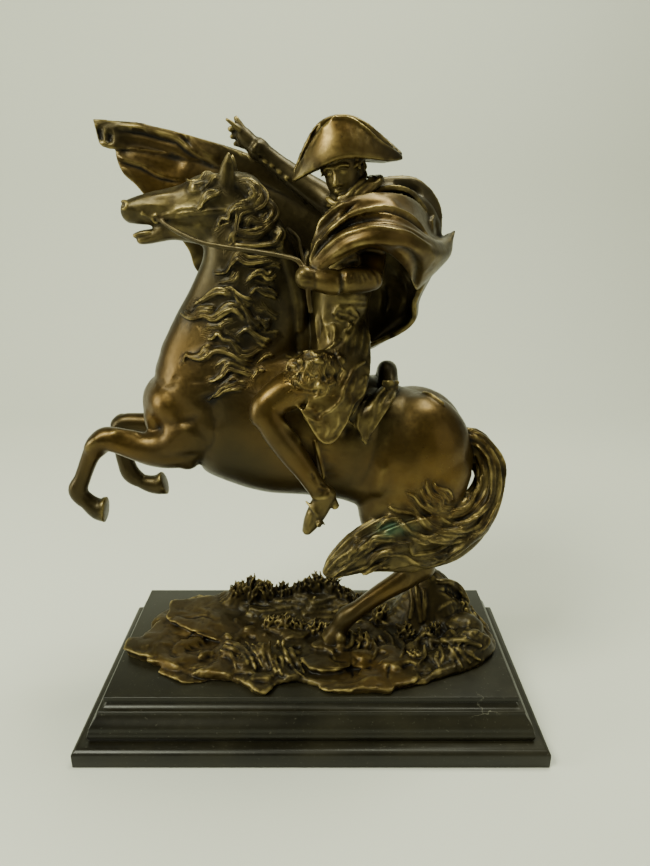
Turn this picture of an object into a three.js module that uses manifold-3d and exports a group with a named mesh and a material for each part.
// Bronze rider on a rearing horse, on a stepped black marble plinth.
// Millimetres, Z up. The origin is the middle of the plinth's underside. The horse looks along -X,
// and -Y is its near side. The bronze group is drawn on a grid of 1 mm squares that counts its
// height from GRID_FLOOR at its own underside to GRID_TOP at the top of the hat; at another
// GROUP_HEIGHT the whole figure follows in proportion.
import * as THREE from 'three';
import * as BufferGeometryUtils from 'three/addons/utils/BufferGeometryUtils.js';
import Module from 'manifold-3d';

const wasm = await Module();
wasm.setup();

// Plinth
const SLAB_LENGTH = 260;
const SLAB_DEPTH = 137.6;
const SLAB_EDGE = 7.6;
const SLAB_BEVEL_RISE = 3.2;
const SLAB_BEVEL_INSET = 4.3;
const SLAB_LEDGE = 7.9;
const MOULDING_FOOT = 6.2;
const MOULDING_BULGE = 0.9;
const MOULDING_RISE = 9.6;
const MOULDING_INSET = 4.4;
const SCOTIA_UNDERCUT = 1.1;
const SCOTIA_RISE = 3.8;
const TOP_PLATE_THICKNESS = 3.3;
const TOP_PLATE_INSET = 15.5;

// Bronze group
const GROUP_HEIGHT = 296;
const SEAT_GAP = 0.3;
const GRID_FLOOR = 34;
const GRID_TOP = 330;
const GROUND_LENGTH = 226;
const GROUND_DEPTH = 94;
const REIN_DIAMETER = 1.9;
const CLOTH_THICKNESS = 2.6;

const plinthHeight = SLAB_EDGE + SLAB_BEVEL_RISE + MOULDING_FOOT + MOULDING_RISE + SCOTIA_RISE
  + TOP_PLATE_THICKNESS;
const unit = GROUP_HEIGHT / (GRID_TOP - GRID_FLOOR);
const seatHeight = plinthHeight + SEAT_GAP;

const bronze = new THREE.MeshStandardMaterial({ color: 0x4a3a1e, roughness: 0.38, metalness: 0.85 });
const marble = new THREE.MeshStandardMaterial({ color: 0x1c1e1f, roughness: 0.3, metalness: 0 });

// Solid helpers

function solidFrom(positions, triangles) {
  return new wasm.Manifold(new wasm.Mesh({
    numProp: 3,
    vertProperties: Float32Array.from(positions),
    triVerts: Uint32Array.from(triangles),
  }));
}

// The outer shell of a solid: hollows sealed between folds of cloth are filled.
function outerShell({ vertProperties, triVerts }) {
  const parent = Array.from({ length: vertProperties.length / 3 }, (_, i) => i);
  const rootOf = (i) => {
    let root = i;
    while (parent[root] !== root) root = parent[root];
    while (parent[i] !== root) [parent[i], i] = [root, parent[i]];
    return root;
  };
  for (let i = 0; i < triVerts.length; i += 3) {
    parent[rootOf(triVerts[i])] = rootOf(triVerts[i + 1]);
    parent[rootOf(triVerts[i + 1])] = rootOf(triVerts[i + 2]);
  }
  const shells = new Map();
  for (let i = 0; i < triVerts.length; i += 3) {
    const root = rootOf(triVerts[i]);
    if (!shells.has(root)) shells.set(root, []);
    shells.get(root).push(i);
  }
  const largest = [...shells.values()].sort((a, b) => b.length - a.length)[0];
  return largest.flatMap((i) => [triVerts[i], triVerts[i + 1], triVerts[i + 2]]);
}

function geometryFrom(solid) {
  const mesh = solid.getMesh();
  const raw = new THREE.BufferGeometry();
  raw.setAttribute('position', new THREE.BufferAttribute(mesh.vertProperties, 3));
  raw.setIndex(outerShell(mesh));
  const geometry = BufferGeometryUtils.mergeVertices(raw, 1e-5);
  geometry.computeVertexNormals();
  return geometry;
}

function unite(solids) {
  return solids.reduce((sum, solid) => sum.add(solid));
}

// Maps a grid point to the part's frame.
function place(point) {
  return [point.x * unit, point.y * unit, seatHeight + (point.z - GRID_FLOOR) * unit];
}

const DOME_RING = 0.72; // size and rise of the ring halfway up a domed end
const across = new THREE.Vector3(0, 1, 0);
const upward = new THREE.Vector3(0, 0, 1);

// Closed round form through stations [x, y, z, half depth, half width]: the width lies along
// `side`, the depth square to it and to the path. Ends with six sides or more are domed, and
// `flutes` ridges of height `relief` (a share of the radius) wind along it.
function form(stations, {
  sides = 8, steps = stations.length, side = across, dome = 0.8, flutes = 0, relief = 0,
} = {}) {
  const path = new THREE.CatmullRomCurve3(stations.map(([x, y, z]) => new THREE.Vector3(x, y, z)));
  const sizes = new THREE.CatmullRomCurve3(
    stations.map(([, , , deep, wide]) => new THREE.Vector3(deep, wide ?? deep, 0)));
  const positions = [];
  const ringAt = (t, scale, shift) => {
    const centre = path.getPoint(t);
    const along = path.getTangent(t);
    const size = sizes.getPoint(t);
    const wideAxis = side.clone().addScaledVector(along, -side.dot(along)).normalize();
    const deepAxis = along.clone().cross(wideAxis);
    centre.addScaledVector(along, shift * Math.min(size.x, size.y));
    for (let i = 0; i < sides; i += 1) {
      const angle = (i / sides) * 2 * Math.PI;
      const swell = scale * (1 + relief * Math.cos(flutes * angle + 5 * t));
      const point = centre.clone()
        .addScaledVector(wideAxis, Math.cos(angle) * size.y * swell)
        .addScaledVector(deepAxis, Math.sin(angle) * size.x * swell);
      positions.push(...place(point));
    }
  };
  const domed = sides > 5 && dome > 0.3;
  if (domed) ringAt(0, DOME_RING, -dome * DOME_RING);
  for (let i = 0; i <= steps; i += 1) ringAt(i / steps, 1, 0);
  if (domed) ringAt(1, DOME_RING, dome * DOME_RING);
  const rings = steps + (domed ? 3 : 1);
  const tip = (t, sign) => {
    const size = sizes.getPoint(t);
    const point = path.getPoint(t).addScaledVector(
      path.getTangent(t), sign * dome * Math.min(size.x, size.y));
    positions.push(...place(point));
    return positions.length / 3 - 1;
  };
  const first = tip(0, -1);
  const last = tip(1, 1);
  const triangles = [];
  for (let i = 0; i < sides; i += 1) {
    const next = (i + 1) % sides;
    for (let ring = 0; ring < rings - 1; ring += 1) {
      const a = ring * sides + i;
      const b = ring * sides + next;
      triangles.push(a, b, b + sides, a, b + sides, a + sides);
    }
    triangles.push(first, next, i);
    triangles.push(last, (rings - 1) * sides + i, (rings - 1) * sides + next);
  }
  return solidFrom(positions, triangles);
}

// Ellipsoid with half sizes along X, Y and Z.
function ball([x, y, z], [rx, ry, rz]) {
  const raw = new THREE.SphereGeometry(1, 7, 5);
  raw.deleteAttribute('normal');
  raw.deleteAttribute('uv');
  raw.scale(rx, ry, rz);
  raw.translate(x, y, z);
  const merged = BufferGeometryUtils.mergeVertices(raw, 1e-4);
  const corner = new THREE.Vector3();
  const positions = [];
  for (let i = 0; i < merged.attributes.position.count; i += 1) {
    positions.push(...place(corner.fromBufferAttribute(merged.attributes.position, i)));
  }
  return solidFrom(positions, merged.index.array);
}

// Point on a smooth surface through rows of control points, at u along a row and v across them.
function surfacePoint(rows, u, v) {
  const column = rows.map((row) => new THREE.CatmullRomCurve3(
    row.map(([x, y, z]) => new THREE.Vector3(x, y, z))).getPoint(u));
  return new THREE.CatmullRomCurve3(column).getPoint(v);
}

// Closed sheet of cloth: `pointAt(u, v)` gives its middle surface, thickened to both sides.
function cloth(pointAt, columns, rows, thickness = CLOTH_THICKNESS) {
  const middle = [];
  for (let j = 0; j <= rows; j += 1) {
    for (let i = 0; i <= columns; i += 1) middle.push(pointAt(i / columns, j / rows));
  }
  const width = columns + 1;
  const index = (i, j) => j * width + i;
  const normalAt = (i, j) => {
    const right = middle[index(Math.min(i + 1, columns), j)].clone()
      .sub(middle[index(Math.max(i - 1, 0), j)]);
    const down = middle[index(i, Math.min(j + 1, rows))].clone()
      .sub(middle[index(i, Math.max(j - 1, 0))]);
    return right.cross(down).normalize();
  };
  const positions = [];
  for (const sign of [1, -1]) {
    for (let j = 0; j <= rows; j += 1) {
      for (let i = 0; i <= columns; i += 1) {
        const offset = (sign * thickness) / 2;
        positions.push(...place(middle[index(i, j)].clone().addScaledVector(normalAt(i, j), offset)));
      }
    }
  }
  const count = middle.length;
  const triangles = [];
  for (let j = 0; j < rows; j += 1) {
    for (let i = 0; i < columns; i += 1) {
      const [a, b, c, d] = [index(i, j), index(i + 1, j), index(i + 1, j + 1), index(i, j + 1)];
      triangles.push(a, b, c, a, c, d);
      triangles.push(count + a, count + c, count + b, count + a, count + d, count + c);
    }
  }
  const rim = [];
  for (let i = 0; i < columns; i += 1) rim.push(index(i, 0));
  for (let j = 0; j < rows; j += 1) rim.push(index(columns, j));
  for (let i = columns; i > 0; i -= 1) rim.push(index(i, rows));
  for (let j = rows; j > 0; j -= 1) rim.push(index(0, j));
  rim.forEach((a, k) => {
    const b = rim[(k + 1) % rim.length];
    triangles.push(a, count + b, b, a, count + a, count + b);
  });
  return solidFrom(positions, triangles);
}

// Solid between a surface and the line `coreAt(u)` behind it.
function wedge(pointAt, coreAt, columns, rows) {
  const positions = [];
  for (let j = 0; j <= rows; j += 1) {
    for (let i = 0; i <= columns; i += 1) positions.push(...place(pointAt(i / columns, j / rows)));
  }
  for (let i = 0; i <= columns; i += 1) positions.push(...place(coreAt(i / columns)));
  const width = columns + 1;
  const index = (i, j) => ((j + rows + 2) % (rows + 2)) * width + i;
  const triangles = [];
  for (let i = 0; i < columns; i += 1) {
    for (let j = -1; j <= rows; j += 1) {
      const [a, b, c, d] = [index(i, j), index(i + 1, j), index(i + 1, j + 1), index(i, j + 1)];
      triangles.push(a, c, b, a, d, c);
    }
  }
  for (let j = 0; j < rows; j += 1) {
    triangles.push(index(0, -1), index(0, j + 1), index(0, j));
    triangles.push(index(columns, -1), index(columns, j), index(columns, j + 1));
  }
  return solidFrom(positions, triangles);
}

// Plinth: rectangles stacked along one moulded profile of [inset, height].

function plinthProfile() {
  const profile = [[0, 0], [0, SLAB_EDGE]];
  const arcSteps = 4;
  for (let i = 1; i <= arcSteps; i += 1) {
    const angle = (i / arcSteps) * Math.PI * 0.5;
    profile.push([
      SLAB_BEVEL_INSET * (1 - Math.cos(angle)),
      SLAB_EDGE + SLAB_BEVEL_RISE * Math.sin(angle),
    ]);
  }
  let level = SLAB_EDGE + SLAB_BEVEL_RISE;
  for (let i = 0; i <= arcSteps; i += 1) {
    const part = i / arcSteps;
    profile.push([
      SLAB_LEDGE - MOULDING_BULGE * Math.sin(part * Math.PI),
      level + MOULDING_FOOT * part,
    ]);
  }
  level += MOULDING_FOOT;
  for (let i = 1; i <= 2 * arcSteps; i += 1) {
    const part = i / (2 * arcSteps);
    const swing = (1 - Math.cos(part * Math.PI)) / 2;
    profile.push([SLAB_LEDGE + MOULDING_INSET * swing, level + MOULDING_RISE * part]);
  }
  level += MOULDING_RISE;
  const scotiaInset = TOP_PLATE_INSET + SCOTIA_UNDERCUT;
  const start = SLAB_LEDGE + MOULDING_INSET;
  for (let i = 1; i <= arcSteps; i += 1) {
    const angle = (i / arcSteps) * Math.PI * 0.5;
    profile.push([
      start + (scotiaInset - start) * Math.sin(angle),
      level + SCOTIA_RISE * (1 - Math.cos(angle)),
    ]);
  }
  level += SCOTIA_RISE;
  profile.push([TOP_PLATE_INSET, level]);
  profile.push([TOP_PLATE_INSET, level + TOP_PLATE_THICKNESS]);
  return profile;
}

function plinthGeometry() {
  const profile = plinthProfile();
  const positions = [];
  for (const [inset, height] of profile) {
    const x = SLAB_LENGTH / 2 - inset;
    const y = SLAB_DEPTH / 2 - inset;
    positions.push(-x, -y, height, x, -y, height, x, y, height, -x, y, height);
  }
  const triangles = [0, 2, 1, 0, 3, 2];
  for (let ring = 0; ring < profile.length - 1; ring += 1) {
    for (let i = 0; i < 4; i += 1) {
      const a = ring * 4 + i;
      const b = ring * 4 + ((i + 1) % 4);
      triangles.push(a, b, b + 4, a, b + 4, a + 4);
    }
  }
  const top = (profile.length - 1) * 4;
  triangles.push(top, top + 1, top + 2, top, top + 2, top + 3);
  return geometryFrom(solidFrom(positions, triangles));
}

// Rocky ground under the horse

const groundCentreY = -3;
const groundBase = 5.5; // lowest rise of the ground above its underside
const groundSquareness = 2.7; // power of the rounded outline: 2 is an ellipse
const groundRoughness = 1.2;
const groundMounds = [
  // [x, y, rise, spread along X, spread along Y]
  [82, 12, 28, 17, 15],
  [66, 14, 20, 14, 13],
  [-40, 30, 14, 24, 9],
  [6, 30, 17, 20, 10],
  [-78, 0, 4, 26, 16],
  [92, -18, 12, 14, 12],
  [48, -28, 6, 20, 10],
  [12, -15, 5, 12, 9],
  [-30, -30, 4, 12, 8],
  [-88, -14, 4, 14, 10],
];

function groundRise(x, y) {
  let rise = groundBase;
  for (const [cx, cy, height, sx, sy] of groundMounds) {
    rise += height * Math.exp(-(((x - cx) / sx) ** 2) - (((y - cy) / sy) ** 2));
  }
  const rough = Math.sin(x * 0.31 + 1.3) * Math.cos(y * 0.37) + 0.6 * Math.sin(x * 0.13 - y * 0.41);
  return rise + groundRoughness * rough;
}

function groundOutline(angle) {
  const a = GROUND_LENGTH / 2 / unit;
  const b = GROUND_DEPTH / 2 / unit;
  const base = (Math.abs(Math.cos(angle) / a) ** groundSquareness
    + Math.abs(Math.sin(angle) / b) ** groundSquareness) ** (-1 / groundSquareness);
  const wobble = 0.022 * Math.sin(5 * angle + 0.6) + 0.02 * Math.sin(9 * angle + 2) - 0.03;
  return base * (1 + wobble);
}

function ground() {
  const spokes = 34;
  const rings = [
    // [share of the outline, share of the rise]
    [0.985, 0], [1, 0.35], [0.97, 0.7], [0.92, 1], [0.74, 1], [0.52, 1], [0.26, 1],
  ];
  const positions = [];
  for (const [share, lift] of rings) {
    for (let i = 0; i < spokes; i += 1) {
      const angle = (i / spokes) * 2 * Math.PI;
      const reach = groundOutline(angle) * share;
      const x = reach * Math.cos(angle);
      const y = reach * Math.sin(angle) + groundCentreY;
      const z = GRID_FLOOR + lift * groundRise(x, y);
      positions.push(...place(new THREE.Vector3(x, y, z)));
    }
  }
  const triangles = [];
  for (let ring = 0; ring < rings.length - 1; ring += 1) {
    for (let i = 0; i < spokes; i += 1) {
      const a = ring * spokes + i;
      const b = ring * spokes + ((i + 1) % spokes);
      triangles.push(a, b, b + spokes, a, b + spokes, a + spokes);
    }
  }
  const middleTop = GRID_FLOOR + groundRise(0, groundCentreY);
  positions.push(...place(new THREE.Vector3(0, groundCentreY, GRID_FLOOR)));
  positions.push(...place(new THREE.Vector3(0, groundCentreY, middleTop)));
  const bottom = rings.length * spokes;
  const last = (rings.length - 1) * spokes;
  for (let i = 0; i < spokes; i += 1) {
    const next = (i + 1) % spokes;
    triangles.push(bottom, next, i, bottom + 1, last + i, last + next);
  }
  return solidFrom(positions, triangles);
}

// A clump of blades that lean outwards, as the grass between the rocks does. Their feet are sunk
// in the ground, but never down to its underside.
const bladesInTuft = 2;
const bladeTurn = 2.4;
const bladeSink = 6;
const bladeFootLeast = 3;

function grassTuft(x, y, height) {
  const foot = GRID_FLOOR + Math.max(groundRise(x, y) - bladeSink, bladeFootLeast);
  return Array.from({ length: bladesInTuft }, (_, i) => {
    const angle = i * bladeTurn + x;
    const reach = height * (0.25 + 0.12 * i);
    return form([
      [x + Math.cos(angle) * 1.5, y + Math.sin(angle) * 1.5, foot, 2.8],
      [x + Math.cos(angle) * reach, y + Math.sin(angle) * reach, foot + height, 0.4],
    ], { sides: 3, steps: 1, side: new THREE.Vector3(1, 0.3, 0) });
  });
}

function groundForms() {
  const tufts = [[-40, 24, 11], [-16, 26, 12], [8, 25, 12], [30, 19, 13], [46, 6, 14], [-44, -27, 8],
    [62, -25, 9]];
  return [
    ground(),
    ...tufts.flatMap(([x, y, height]) => grassTuft(x, y, height)),
  ];
}

// Horse

const neckStations = [
  [-52, 0, 190, 36, 28], [-44, 0, 205, 38, 25], [-38, 0, 224, 35, 20], [-34, 0, 244, 29, 16.5],
  [-33, 0, 262, 23, 14], [-36, 0, 278, 18, 11.5], [-40, 0, 290, 13, 10],
];

function horseBody() {
  return [
    form([
      [80, 0, 156, 17, 16], [70, 0, 155, 30, 25], [58, 0, 156, 36, 30], [42, 0, 160, 36, 31],
      [25, 0, 166, 36, 31], [5, 0, 171, 38, 32], [-15, 0, 176, 42, 32], [-35, 0, 182, 42, 31],
      [-55, 0, 187, 38, 28], [-70, 0, 187, 28, 24], [-80, 0, 186, 17, 17],
    ], { sides: 10, steps: 9, dome: 0.7 }),
    form(neckStations, { sides: 9, steps: 5 }),
    form([
      [-38, 0, 287, 15, 9.5], [-50, 0, 286, 16, 10.5], [-61, 0, 286, 13.5, 9], [-74, 0, 288, 8.5, 6.6],
      [-84, 0, 288, 6.3, 6], [-90, 0, 287.5, 5.2, 5.6],
    ], { sides: 8, steps: 5 }),
    form([
      [-56, 0, 280, 10, 7.5], [-69, 0, 279, 6, 5.6], [-79, 0, 276.5, 3.2, 4.2], [-86, 0, 276, 2.6, 3.6],
    ], { sides: 6, steps: 3 }),
    ball([-84, 0, 182], [8, 15, 13]),
    ...[-1, 1].map((near) => form([
      [-40, near * 5.5, 300, 3.8, 2], [-38.8, near * 6.6, 306, 3.8, 1.6],
      [-38.6, near * 6.8, 311, 1.6, 1],
    ], { sides: 5, steps: 1, side: new THREE.Vector3(0.2, 1, 0) })),
  ];
}

function hoof([x, y, z], [dx, dz], top, length) {
  const reach = Math.hypot(dx, dz);
  const [ux, uz] = [dx / reach, dz / reach];
  return form([
    [x, y, z, top, top * 0.95], [x + ux * length, y, z + uz * length, top * 1.4, top * 1.25],
  ], { sides: 6, steps: 1, dome: 0.12 });
}

function horseLegs() {
  return [
    // Near foreleg, bent at the knee with the cannon hanging
    form([
      [-62, -17, 178, 17, 12], [-72, -18, 168, 12.5, 10], [-84, -18, 166, 9.6, 8],
      [-97, -18, 169, 7.4, 6.4], [-108, -18, 172, 6.8, 6.2], [-114, -18, 169, 6, 5.8],
    ], { sides: 6, steps: 4 }),
    form([
      [-113, -18, 170, 6, 5.6], [-119, -18, 160, 4.1, 4], [-124, -18, 149, 3.9, 3.8],
      [-127, -18, 141.5, 5.2, 4.8], [-124, -18, 136.5, 4.3, 4.2],
    ], { sides: 5, steps: 4 }),
    hoof([-123, -18, 136.5], [10, -8], 4.7, 9.5),
    // Far foreleg
    form([
      [-62, 17, 180, 16, 12], [-76, 18, 170, 10.5, 9], [-94, 18, 171, 7.6, 6.4], [-108, 18, 172, 6.6, 6],
      [-113, 18, 168, 6, 5.6],
    ], { sides: 6, steps: 3 }),
    form([
      [-113, 18, 168, 5.6, 5.4], [-112, 18, 156, 4.1, 4], [-109.5, 18, 145, 4, 3.9],
      [-107, 18, 138, 5.2, 4.8], [-101, 18, 135, 4.3, 4.2],
    ], { sides: 5, steps: 4 }),
    hoof([-101, 18, 135], [11, -4.5], 4.7, 10),
    // Near hind leg, strongly bent, its cannon slanting forwards to the ground
    form([
      [64, -11, 160, 27, 16], [57, -13, 145, 29, 17], [52, -14, 130, 24, 15], [52, -14, 114, 16, 12],
      [57, -13, 101, 10.5, 8.5], [64, -12, 91, 8.4, 6.6],
    ], { sides: 8, steps: 5 }),
    form([
      [65, -12, 92, 7.6, 6.4], [54, -12, 83, 6, 5.4], [40, -12, 73, 5, 4.8], [28, -12, 63, 5, 4.8],
      [20.5, -12, 57, 6.2, 5.8], [16.5, -12, 50, 5.2, 5.2],
    ], { sides: 6, steps: 4 }),
    hoof([16.5, -12, 50], [-4, -9], 5.4, 10),
    // Far hind leg, more upright
    form([
      [64, 11, 160, 26, 16], [60, 13, 142, 27, 16], [58, 13, 125, 22, 14], [62, 13, 108, 14, 11],
      [70, 13, 94, 8.8, 7.4], [72, 13, 84, 6.6, 6],
    ], { sides: 8, steps: 5 }),
    form([
      [72, 13, 88, 6.6, 6], [71, 13, 72, 4.9, 4.8], [69, 13, 58, 5, 4.8], [66, 13, 50, 6, 5.6],
    ], { sides: 6, steps: 3 }),
    hoof([65, 13, 50], [-5, -7], 5.4, 8),
  ];
}

const tailStations = [
  [85, 0, 168, 4.5, 4.5], [94, -1, 163, 6, 6], [100, -4, 150, 7.2, 7.5], [98, -8, 136, 9, 8.5],
  [89, -14, 125, 12.5, 9], [75, -21, 118, 16, 9], [58, -26, 117, 17.5, 8.5], [42, -28, 115, 16, 8],
  [27, -29, 110, 12, 6.5], [15, -30, 103, 7.5, 4.5], [8.5, -30, 98, 3, 2.5],
];

// One raised lock: it runs from `from` to `to` and sways `sway` up and down along the way.
function lock(from, to, thick, sway, waves, phase = 0) {
  const stations = [];
  const count = 4;
  for (let i = 0; i <= count; i += 1) {
    const t = i / count;
    const bend = sway * Math.sin(waves * t * 2 * Math.PI + phase);
    stations.push([
      from[0] + (to[0] - from[0]) * t,
      from[1] + (to[1] - from[1]) * t,
      from[2] + (to[2] - from[2]) * t + bend,
      thick * (1 - 0.8 * t ** 2) + 0.3,
      thick * (0.9 - 0.6 * t) + 0.3,
    ]);
  }
  return form(stations, { sides: 4, steps: 4 });
}

// Half width of the neck at grid height z and at x along the horse.
function neckSide(x, z) {
  const above = neckStations.findIndex((station) => station[2] >= z);
  const k = above < 1 ? neckStations.length - 1 : above;
  const [low, high] = [neckStations[k - 1], neckStations[k]];
  const t = THREE.MathUtils.clamp((z - low[2]) / (high[2] - low[2]), 0, 1);
  const [cx, , , deep, wide] = low.map((value, i) => value + (high[i] - value) * t);
  const share = Math.min(Math.abs(x - cx) / deep, 0.92);
  return wide * Math.sqrt(1 - share * share);
}

function horseHair() {
  const hair = [form(tailStations, { sides: 15, steps: 11, flutes: 5, relief: 0.13 })];
  hair.push(lock([40, -29, 128], [18, -30, 119], 4, 2, 0.5));
  hair.push(lock([34, -30, 104], [7, -30, 98], 4.5, 1.5, 0.5));
  hair.push(lock([60, -26, 132], [38, -29, 137], 2.2, 2, 0.8, 1));
  // Mane along the crest, and its wavy ends thrown forwards over the neck
  hair.push(form([
    [-36, -1, 302, 4, 7], [-26, -1, 299, 6, 8], [-16, -1, 284, 6, 8], [-9, -1, 264, 6.5, 8],
    [-5, 0, 244, 6, 9], [-6, 0, 228, 6, 9],
  ], { sides: 5, steps: 5 }));
  const rows = 7;
  for (let i = 0; i < rows; i += 1) {
    const t = i / (rows - 1);
    const height = 290 - 84 * t;
    const root = -22 + 16 * Math.sin(Math.min(t * 1.5, 1) * Math.PI * 0.5) - 6 * t;
    const reach = 24 + 22 * Math.sin(t * Math.PI) + 7 * (i % 2);
    const stations = [];
    for (let k = 0; k <= 4; k += 1) {
      const along = k / 4;
      const x = root - reach * along;
      const z = height - 9 * along * (1 - t) + 2.6 * Math.sin(7 * along + i);
      const thick = 4.4 * (1 - 0.75 * along ** 2);
      stations.push([x, -neckSide(x, z) - 0.3, z, thick, thick * 0.75]);
    }
    hair.push(form(stations, { sides: 4, steps: 4 }));
  }
  // Forelock and the lock under the ear
  hair.push(lock([-40, -2, 303], [-58, -4, 300], 3, 1.5, 0.8));
  hair.push(lock([-42, -8, 296], [-52, -11, 285], 2.2, 1.5, 0.8));
  return hair;
}

// Rider

function riderBody() {
  return [
    form([
      [15, 0, 206, 17, 24], [15, 0, 222, 16.5, 19], [15, -1, 238, 15, 15], [18, -1, 256, 15.5, 16],
      [21, 0, 272, 16, 18], [20, 0, 284, 13, 16], [18, 0, 293, 7, 8], [17, -1, 299, 6, 6],
    ], { sides: 8, steps: 5 }),
    // Head, nose and hair at the nape
    form([
      [16, -2, 297, 8.5, 7], [15.5, -2.4, 303, 9.4, 8.4], [16, -2, 310, 9.6, 8.8], [17, -1, 317, 8, 8],
    ], { sides: 8, steps: 3, dome: 0.4 }),
    form([[13.6, -10, 307, 1.3], [13.2, -11.6, 302.8, 1.6], [13.4, -10.4, 301.6, 1.2]],
      { sides: 4, steps: 1 }),
    ball([24, 1, 304], [5, 7, 6.5]),
    // Collar standing round the neck
    form([[17, -1, 290, 9.5, 9], [17.5, -1, 297, 9, 8.5]], { sides: 7, steps: 1, dome: 0.1 }),
    // Raised far arm with its cuff, palm and fingers
    form([
      [16, 12, 285, 9, 8.5], [8, 19, 292, 7.6, 7.4], [-7, 23, 302, 6.2, 6], [-18, 25, 310, 5.3, 5.3],
      [-27, 25, 316.5, 5.2, 5.2],
    ], { sides: 6, steps: 4 }),
    form([[-25.5, 25, 315.5, 5.8], [-29, 25, 318, 5.8]], { sides: 6, steps: 1, dome: 0.2 }),
    form([[-29, 25, 318, 3.2, 3.6], [-33, 25, 321.5, 3.4, 4.2], [-36, 25, 324.5, 2.4, 4]],
      { sides: 5, steps: 2 }),
    ...[[-41.5, 23.4, 332, 1.1], [-43.8, 25.2, 329.6, 1], [-42.6, 27, 327, 1], [-40, 28.4, 325, 0.95]]
      .map(([x, y, z, thick]) => form([[-35, (y + 25) / 2, 323.4, 1.4], [x, y, z, thick]],
        { sides: 4, steps: 1 })),
    form([[-31, 22, 322, 1.3], [-31.6, 20.4, 326.6, 1]], { sides: 4, steps: 1 }),
    // Near arm: upper arm down to the elbow, forearm level, hand closed on the reins
    form([
      [28, -12, 282, 10, 9], [33, -20, 270, 9, 8], [34, -28, 259, 7.6, 7.6],
    ], { sides: 6, steps: 2, side: new THREE.Vector3(0.4, 1, 0.2) }),
    form([
      [33, -31, 255.5, 7.2, 7], [24, -34, 255.5, 7.4, 7], [15, -35, 255.5, 7.2, 6.6],
      [7, -36, 256, 5.6, 5.4], [2, -36.5, 257, 5.4, 5.2],
    ], { sides: 7, steps: 4 }),
    ball([-1.5, -37, 257.5], [5, 5, 5.6]),
  ];
}

function riderLegs() {
  return [-1, 1].flatMap((side) => [
    form([
      [16, side * 18, 208, 14, 12], [2, side * 25, 205, 13, 11], [-12, side * 32, 202, 11.5, 10],
      [-22, side * 36, 196, 9.4, 8.6], [-24, side * 37, 189, 8.2, 7.8],
    ], { sides: 7, steps: 3 }),
    form([
      [-23, side * 37, 192, 8, 7.6], [-18, side * 38, 180, 8.2, 7.6], [-10, side * 38, 169, 8.4, 7.4],
      [-1, side * 38, 159, 6.4, 6], [5, side * 38, 152, 5.2, 4.8],
    ], { sides: 6, steps: 4 }),
    form([
      [9, side * 38, 150, 5, 4.4], [5, side * 38, 142, 5.6, 4.6], [1, side * 38, 134, 4.8, 4.4],
      [-2, side * 38, 128, 2.8, 3.2],
    ], { sides: 5, steps: 2 }),
    // Stirrup bar under the boot
    form([[4.5, side * 32, 134.5, 1.6], [4.5, side * 44, 134.5, 1.6]],
      { sides: 4, steps: 1, side: upward }),
  ]);
}

// Half width of the hat and its lower and upper edge, from its near-face tip to the far one.
const hatStations = [
  // [x, y, lower z, upper z, half width]
  [-8, -3, 299.5, 302.5, 1], [-3, -4, 302, 311, 4.5], [3, -4, 305, 320, 8], [10, -3, 307.5, 327, 11],
  [18, -2, 309.5, 329, 12], [27, -1, 309.5, 326, 11], [36, 0, 309, 319.5, 7.5], [42, 0, 309.5, 314.5, 3.5],
  [45, 0, 310, 312, 1],
];

function hat() {
  const section = [
    // [share of the half width, share of the height]: two flaps with a dip between their edges
    [-0.75, 0], [-1, 0.1], [-0.86, 0.45], [-0.5, 0.96], [-0.3, 1], [0, 0.86], [0.3, 1], [0.5, 0.96],
    [0.86, 0.45], [1, 0.1], [0.75, 0], [0, 0.12],
  ];
  const positions = [];
  for (const [x, y, low, high, wide] of hatStations) {
    for (const [across01, up01] of section) {
      positions.push(...place(new THREE.Vector3(x, y + across01 * wide, low + (high - low) * up01)));
    }
  }
  const count = section.length;
  const triangles = [];
  const last = (hatStations.length - 1) * count;
  for (let i = 0; i < count; i += 1) {
    const next = (i + 1) % count;
    for (let ring = 0; ring < hatStations.length - 1; ring += 1) {
      const a = ring * count + i;
      const b = ring * count + next;
      triangles.push(a, b + count, b, a, a + count, b + count);
    }
    if (i > 0 && i < count - 1) {
      triangles.push(0, next === 0 ? 0 : i, next);
      triangles.push(last, last + next, last + i);
    }
  }
  return solidFrom(positions, triangles);
}

// Coat skirts, saddlecloth and saddle

function skirts() {
  const tail = [
    [[32, -22, 222], [22, -29, 226], [8, -32, 224], [-2, -33, 216]],
    [[33, -28, 206], [24, -33, 206], [14, -36, 205], [6, -37, 203]],
    [[26, -32, 192], [20, -36, 190], [14, -38, 189], [7, -38, 189]],
    [[18, -35, 180], [15, -38, 177], [13, -39, 177], [9, -39, 180]],
  ];
  const drape = (side) => {
    const rows = [];
    for (const [share, z, rear] of [[0.34, 206, 46], [0.82, 195, 41], [1.02, 182, 31], [0.98, 171, 23]]) {
      rows.push([[rear, side * 32 * share, z], [rear - 14, side * 33.5 * share, z - 1],
        [4, side * 35 * share, z + 1], [-8, side * 35 * share, z + 6]]);
    }
    return rows;
  };
  return [
    cloth((u, v) => surfacePoint(tail, u, v), 3, 3, 3),
    ...[-1, 1].map((side) => {
      const rows = drape(side);
      return cloth((u, v) => {
        const point = surfacePoint(rows, side < 0 ? u : 1 - u, v);
        point.y += side * 0.8 * Math.sin(u * Math.PI * 3);
        return point;
      }, 5, 3, 4);
    }),
    // Cantle behind the rider
    form([[42, -13, 202, 4, 5], [43, 0, 208, 4.4, 5], [42, 13, 202, 4, 5]],
      { sides: 5, steps: 2, side: new THREE.Vector3(1, 0, 0) }),
    // Tangle of sword knot and sash ends at the hip
    ball([8, -30, 216], [12, 6, 9]),
  ];
}

// Cloak: the long sweep behind the horse's head, the wrap round the near shoulder and arm, the
// rolled collar at the back and the drape that hangs behind the rider.

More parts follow.
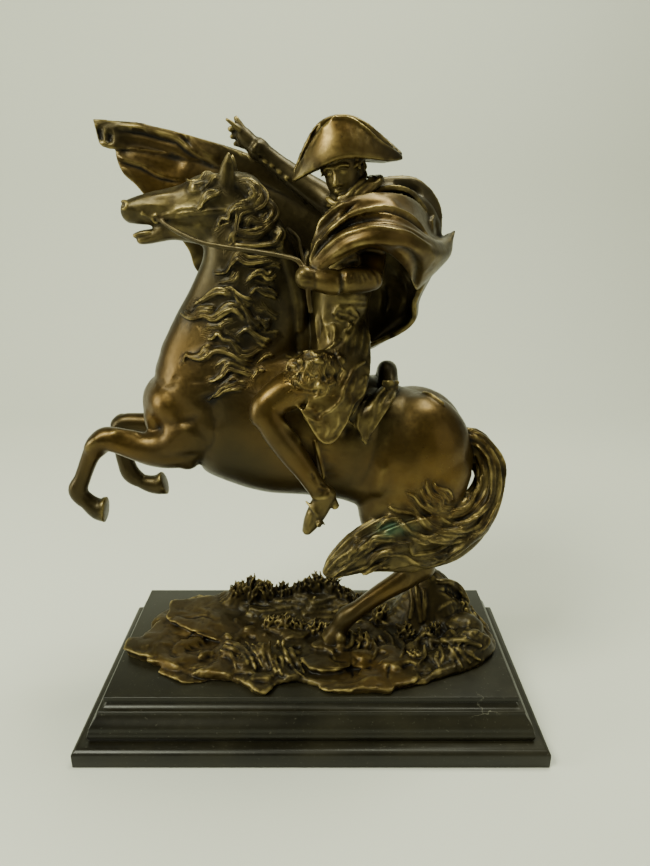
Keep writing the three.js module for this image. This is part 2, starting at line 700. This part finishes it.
const sweepRoot = [[14, 22, 291], [12, 25, 278], [10, 25, 262], [9, 24, 246], [9, 20, 228]];
const sweepHem = [
  [-115, 36, 332], [-112, 33, 320], [-107, 34, 319.5], [-106.5, 41, 327], [-103, 38, 326],
  [-104, 34, 315], [-101, 32, 306], [-94, 32, 299], [-83, 33, 285], [-69, 32, 267], [-64, 32, 254],
  [-48, 30, 243], [-26, 27, 232], [-8, 23, 224],
];

function sweepPoint(u, v) {
  const curve = (points) => new THREE.CatmullRomCurve3(
    points.map(([x, y, z]) => new THREE.Vector3(x, y, z)));
  const root = curve(sweepRoot).getPoint(v);
  const hem = curve(sweepHem).getPoint(v);
  const point = root.lerp(hem, u);
  const bow = 4 * u * (1 - u);
  point.z += bow * (9 - 11 * v);
  point.y += bow * (5 + 2.2 * Math.sin(v * Math.PI * 7));
  return point;
}

const wrapRidges = [
  [[1, -30, 272], [5, -27, 283], [12, -24, 290], [24, -21, 294], [38, -17, 295], [51, -8, 292],
    [61, 2, 283], [66, 10, 276]],
  [[0, -35, 265], [4, -36, 273], [12, -36, 281], [24, -36, 286], [37, -33, 287], [50, -25, 281],
    [61, -10, 274], [69, 8, 274]],
  [[1, -36, 262], [7, -38, 271], [17, -41, 279], [32, -42, 282], [46, -37, 279], [59, -25, 272],
    [69, -8, 271], [75, 8, 277]],
  [[4, -38, 261], [12, -41, 268], [23, -44, 273], [35, -44, 273], [49, -37, 270], [62, -22, 264],
    [70, -5, 264], [71, 10, 268]],
  [[9, -38, 262], [19, -40, 268], [28, -40, 271], [37, -36, 268], [46, -27, 260], [53, -12, 249],
    [58, 2, 250], [62, 12, 256]],
];

const drapeRows = [
  [[60, -4, 282], [62, 8, 287], [52, 18, 292], [32, 22, 293], [14, 22, 291]],
  [[60, -10, 262], [65, 8, 264], [54, 22, 266], [32, 27, 264], [11, 25, 262]],
  [[54, -4, 243], [57, 10, 243], [48, 23, 242], [30, 27, 240], [10, 23, 240]],
  [[52, 1, 229], [54, 13, 229], [46, 23, 229], [29, 26, 229], [10, 21, 232]],
  [[36, 8, 217], [40, 15, 217], [38, 22, 217], [26, 24, 219], [9, 19, 226]],
];

const rollRows = [
  [[28, 3, 300], [41, 10, 302.5], [53, 13, 302], [62, 13, 296], [67, 11, 287], [67, 5, 276]],
  [[29, 2, 296], [40, 4, 297], [50, 5, 294], [57, 5, 288], [61, 4, 280], [62, 0, 272]],
  [[28, -4, 294], [38, -6, 297], [48, -4, 296], [56, -1, 289], [60, 0, 281], [62, -2, 272]],
];

const wrapCore = [[8, -24, 267], [28, -8, 270], [48, -2, 268], [62, 6, 272]];

// Point on the wrap: ridges along the rows of `wrapRidges`, with valleys drawn in between them.
function wrapPoint(u, v) {
  const point = surfacePoint(wrapRidges, u, v);
  const inward = new THREE.Vector3(26, 4, 264).sub(point).normalize();
  const valley = Math.sin(v * (wrapRidges.length - 1) * Math.PI) ** 2;
  return point.addScaledVector(inward, 5 * valley * Math.sin(Math.min(u * 1.4, 1) * Math.PI));
}

function cloak() {
  const core = new THREE.CatmullRomCurve3(wrapCore.map(([x, y, z]) => new THREE.Vector3(x, y, z)));
  return [
    cloth(sweepPoint, 5, 18),
    wedge(wrapPoint, (u) => core.getPoint(u), 10, 12),
    cloth((u, v) => surfacePoint(drapeRows, u, v), 6, 6),
    cloth((u, v) => surfacePoint(rollRows, u, v), 6, 2),
  ];
}

// Reins from the bit to the hand, and the loose end below it
function reins() {
  const thick = REIN_DIAMETER / 2 / unit;
  const strand = (points) => form(points.map((point) => [...point, thick]),
    { sides: 4, steps: points.length, side: upward });
  return [
    strand([[-74, -6.5, 283], [-67, -11, 276], [-52, -18, 271.5], [-32, -26, 268.5], [-13, -32, 267],
      [-5, -36, 265], [-1.5, -37, 260]]),
    strand([[-12, 12, 278], [-6, 0, 273], [-4, -14, 268], [-2, -28, 263], [-1, -35, 259]]),
    strand([[-1, -38, 256], [0, -39, 250], [1, -38.5, 242]]),
  ];
}

function bronzeGroup() {
  return unite([
    ...groundForms(), ...horseBody(), ...horseLegs(), ...horseHair(), ...riderBody(), ...riderLegs(),
    hat(), ...skirts(), ...cloak(), ...reins(),
  ]);
}

function named(name, geometry, material) {
  const mesh = new THREE.Mesh(geometry, material);
  mesh.name = name;
  return mesh;
}

const statuette = new THREE.Group();
statuette.add(named('marble_plinth', plinthGeometry(), marble));
statuette.add(named('bronze_group', geometryFrom(bronzeGroup()), bronze));

export default statuette;
